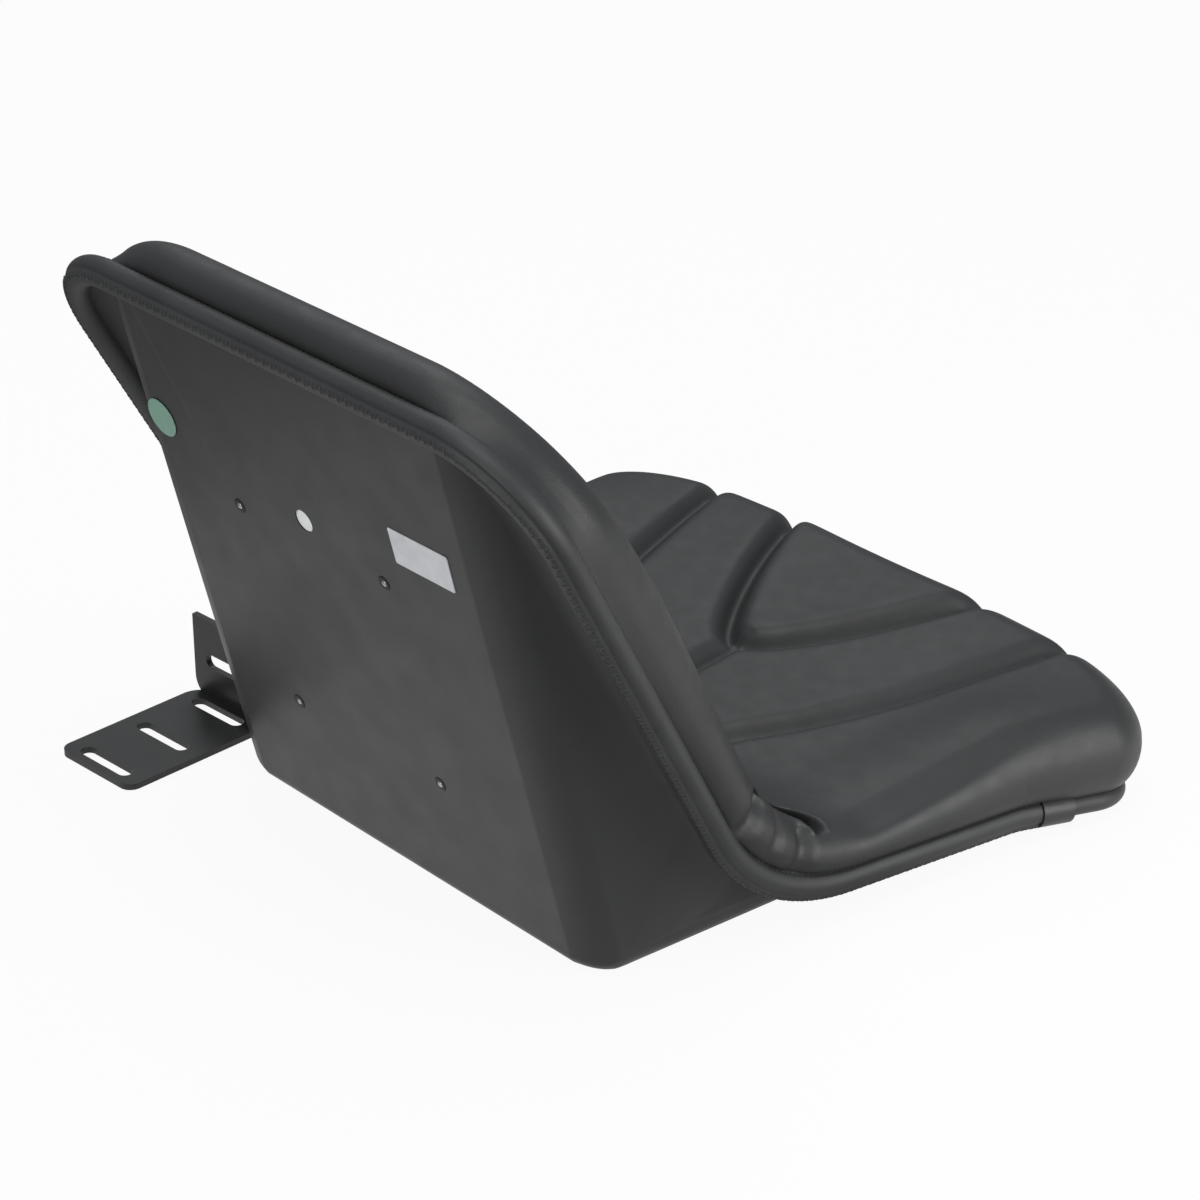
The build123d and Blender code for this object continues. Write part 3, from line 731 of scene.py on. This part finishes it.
# A plain strip from side to side closes the skin underneath.
last = ring_index[-1]
right_side = last[column_count - 1 : column_count - 1 + row_count]
left_side = np.concatenate([last[:1], last[::-1][: row_count - 1]])
under_faces = np.stack([left_side[:-1], right_side[:-1], right_side[1:], left_side[1:]], -1)
top_end, nose_end = last[:column_count], last[column_count + row_count - 2 :][:column_count]
skin_faces = [*grid_faces(row_count, column_count).tolist(), *roll_faces.tolist(), *under_faces.tolist()]
skin_faces += [top_end.tolist(), nose_end.tolist()]

vinyl, tree, shader, place = new_finish("grained_vinyl", (0.022, 0.022, 0.023), roughness=0.5)
vary(tree, shader, "Base Color", place, grey(0.021), grey(0.027), scale=14.0, detail=4.0)
vary(tree, shader, "Roughness", place, grey(0.45), grey(0.54), scale=90.0)
pored = raise_pores(tree, shader, place, scale=900.0, depth=0.0003, strength=0.22)
dents = mottle(tree, place, scale=60.0, detail=4.0)
raise_grain(tree, shader, dents, depth=0.0012, strength=0.10, before=pored)
cushion = new_piece(
    "cushion_skin",
    np.concatenate([skin_points.reshape(-1, 3), ring_points.reshape(-1, 3)]),
    skin_faces,
    vinyl,
)
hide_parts("cushion")


# Mounting bracket
# A bent steel plate, sprayed black: a foot with three slots, an upright with one, and a tab that is
# bolted to the left side wall.
bracket_paint, tree, shader, place = new_finish("bracket_paint", (0.018, 0.018, 0.019), roughness=0.38)
vary(tree, shader, "Base Color", place, grey(0.016), grey(0.022), scale=60.0)
raise_grain(tree, shader, mottle(tree, place, scale=800.0), depth=0.0004, strength=0.15)
dress_node("mounting_bracket", bracket_paint)


# Bracket bolts and washers
# Two plated hexagon bolts with plain washers. They hold the bracket's tab to the nuts that are welded
# inside the left side wall.
dress_node("bracket_bolts", plated)
dress_node("bracket_washers", plated)


# Blank label and round sticker
# A white paper label under clear film and a small green disc, stuck flat on the back panel.
# Both are plain, without print.
label_place, label_half, label_corner = (0.0966, 0.2616), (0.0238, 0.0114), 0.0012
label_front, label_back, corner_points = 0.00025, -0.0002, 6
sticker_place, sticker_radius = (-0.127, 0.267), 0.0120


def plate_outline(half_across, half_up, corner, count):
    """A rectangle with round corners as one loop of points."""
    turn = (np.arange(4 * count) // count) * np.pi / 2 + np.tile(np.linspace(0, np.pi / 2, count), 4)
    sign_x = np.repeat([1, -1, -1, 1], count)
    sign_y = np.repeat([1, 1, -1, -1], count)
    return (
        sign_x * (half_across - corner) + corner * np.cos(turn),
        sign_y * (half_up - corner) + corner * np.sin(turn),
    )


label_paper, tree, shader, place = new_finish("label_paper", (0.58, 0.59, 0.60), roughness=0.35)
vary(tree, shader, "Base Color", place, (0.56, 0.57, 0.59, 1), (0.64, 0.65, 0.67, 1), scale=120.0)
loop_x, loop_y = plate_outline(*label_half, label_corner, corner_points)
shrink = np.array([0, 1, 1, 0])[:, None]
rise = np.array([label_front, label_front, label_back, label_back])[:, None]
new_piece(
    "blank_label",
    on_panel(label_place[0] + loop_x * shrink, label_place[1] + loop_y * shrink, rise),
    grid_faces(4, 4 * corner_points, around=True),
    label_paper,
    smooth=False,
)
sticker_green, tree, shader, place = new_finish("sticker_green", (0.20, 0.36, 0.28), roughness=0.4)
vary(tree, shader, "Base Color", place, (0.185, 0.34, 0.26, 1), (0.215, 0.385, 0.30, 1), scale=90.0)
sticker_points, sticker_faces = domed_disc(
    sticker_place, sticker_radius, thick=0.0002, dome=0.0001, level=0.0003, rings=6, spokes=48
)
new_piece("round_sticker", sticker_points, sticker_faces, sticker_green, smooth=False)


# Studio
# A plain pale floor, white to the camera, with a soft shadow, under four soft lamps. Paint and vinyl
# mirror two painted pools of light, where the floor glows to reflections only, and a grey sky, as in a
# dark studio.
def joined(tree, operation, *values):
    """The result of a maths node, from sockets and plain numbers."""
    node = tree.nodes.new("ShaderNodeMath")
    node.operation = operation
    for socket, value in zip(node.inputs, values):
        if isinstance(value, float):
            socket.default_value = value
        else:
            tree.links.new(value, socket)
    return node.outputs[0]


def faded(tree, value, start, end, low, high):
    """Goes smoothly from low to high while the value goes from start to end."""
    node = tree.nodes.new("ShaderNodeMapRange")
    node.interpolation_type = "SMOOTHSTEP"
    for socket, number in (("From Min", start), ("From Max", end), ("To Min", low), ("To Max", high)):
        node.inputs[socket].default_value = number
    tree.links.new(value, node.inputs["Value"])
    return node.outputs[0]


def painted_light_pool(tree, place, middle, far, near, low, high):
    """Painted light: glow round a point of the floor, seen in reflections, low beyond far metres from it,
    high within near metres.
    """
    apart = tree.nodes.new("ShaderNodeVectorMath")
    apart.operation = "DISTANCE"
    apart.inputs[1].default_value = middle
    tree.links.new(place, apart.inputs[0])
    return faded(tree, apart.outputs["Value"], far, near, low, high)


def mixed_shader(tree, share, first, second, output):
    """Shows the second shader by its share and the first one by the rest."""
    mix = tree.nodes.new("ShaderNodeMixShader")
    tree.links.new(share, mix.inputs["Fac"])
    tree.links.new(first.outputs[0], mix.inputs[1])
    tree.links.new(second.outputs[0], mix.inputs[2])
    tree.links.new(mix.outputs[0], output.inputs["Surface"])


floor_reach, floor_drop, floor_shown = 6.0, 0.0005, 0.93
floor_mesh = bpy.data.meshes.new("floor")
corners = [(x * floor_reach, y * floor_reach, 0) for x, y in ((-1, -1), (1, -1), (1, 1), (-1, 1))]
floor_mesh.from_pydata(corners, [], [(0, 1, 2, 3)])
floor = bpy.data.objects.new("floor", floor_mesh)
bpy.context.scene.collection.objects.link(floor)
floor.location = (0, 0, -floor_drop)
floor_paint = bpy.data.materials.new("floor_white")
floor_paint.use_nodes = True
tree = floor_paint.node_tree
tree.nodes.clear()
place = tree.nodes.new("ShaderNodeTexCoord")
ray = tree.nodes.new("ShaderNodeLightPath")
matt = tree.nodes.new("ShaderNodeBsdfDiffuse")
matt.inputs["Color"].default_value = (0.8, 0.8, 0.8, 1)
glow = tree.nodes.new("ShaderNodeEmission")
glow.inputs["Color"].default_value = (1, 1, 1, 1)
# Two painted pools of light: the floor glows round these points, seen only in reflections.
painted_pool_behind = painted_light_pool(
    tree, place.outputs["Object"], (0.10, 0.22, 0.0), far=0.46, near=0.16, low=0.25, high=0.72
)
painted_pool_front = painted_light_pool(
    tree, place.outputs["Object"], (-0.30, -0.50, 0.0), far=0.62, near=0.30, low=0.0, high=1.0
)
painted_pools = joined(tree, "MAXIMUM", painted_pool_behind, painted_pool_front)
clear = joined(tree, "MAXIMUM", ray.outputs["Is Camera Ray"], ray.outputs["Is Transmission Ray"])
tree.links.new(joined(tree, "MAXIMUM", clear, painted_pools), glow.inputs["Strength"])
seen = joined(tree, "MULTIPLY_ADD", clear, floor_shown, ray.outputs["Is Glossy Ray"])
mixed_shader(tree, seen, matt, glow, tree.nodes.new("ShaderNodeOutputMaterial"))
floor_mesh.materials.append(floor_paint)

world = bpy.data.worlds.new("studio")
bpy.context.scene.world = world
world.use_nodes = True
tree = world.node_tree
tree.nodes.clear()
place = tree.nodes.new("ShaderNodeTexCoord")
ray = tree.nodes.new("ShaderNodeLightPath")
height = tree.nodes.new("ShaderNodeSeparateXYZ")
tree.links.new(place.outputs["Generated"], height.inputs[0])
sky = tree.nodes.new("ShaderNodeBackground")
sky.inputs["Color"].default_value = (0.93, 0.97, 1.0, 1)
sky_level = faded(tree, height.outputs["Z"], start=0.0, end=0.60, low=0.20, high=0.42)
tree.links.new(sky_level, sky.inputs["Strength"])
white = tree.nodes.new("ShaderNodeBackground")
white.inputs["Color"].default_value = (1, 1, 1, 1)
white.inputs["Strength"].default_value = 1.0
clear = joined(tree, "MAXIMUM", ray.outputs["Is Camera Ray"], ray.outputs["Is Transmission Ray"])
mixed_shader(tree, clear, sky, white, tree.nodes.new("ShaderNodeOutputWorld"))


def soft_lamp(name, place, aim, size, watts):
    """A square area lamp that looks at a point."""
    lamp = bpy.data.lights.new(name, "AREA")
    lamp.shape = "SQUARE"
    lamp.size = size
    lamp.energy = watts
    holder = bpy.data.objects.new(name, lamp)
    bpy.context.scene.collection.objects.link(holder)
    holder.location = place
    holder.rotation_euler = (Vector(aim) - Vector(place)).to_track_quat("-Z", "Y").to_euler()


soft_lamp("key", (1.2, -1.0, 1.9), aim=(0, 0, 0.2), size=1.4, watts=8.5)
soft_lamp("overhead", (-0.4, 0.3, 2.3), aim=(0, 0, 0.2), size=1.4, watts=18.0)
soft_lamp("behind", (-0.9, 2.4, 1.0), aim=(0, 0, 0.2), size=1.4, watts=18.0)
soft_lamp("side", (-1.6, -0.55, 0.5), aim=(0, 0.1, 0.2), size=1.0, watts=17.0)

camera_data = bpy.data.cameras.new("camera")
camera_data.sensor_width = 36.0
camera_data.lens = 103.8
camera = bpy.data.objects.new("camera", camera_data)
bpy.context.scene.collection.objects.link(camera)
azimuth, elevation = radians(228.3), radians(27.0)
backward = Vector(
    (np.sin(azimuth) * np.cos(elevation), -np.cos(azimuth) * np.cos(elevation), np.sin(elevation))
)
camera.location = (-1.331, 1.213, 1.032)
camera.rotation_euler = (-backward).to_track_quat("-Z", "Y").to_euler()
bpy.context.scene.camera = camera
bpy.context.scene.view_settings.view_transform = "Standard"
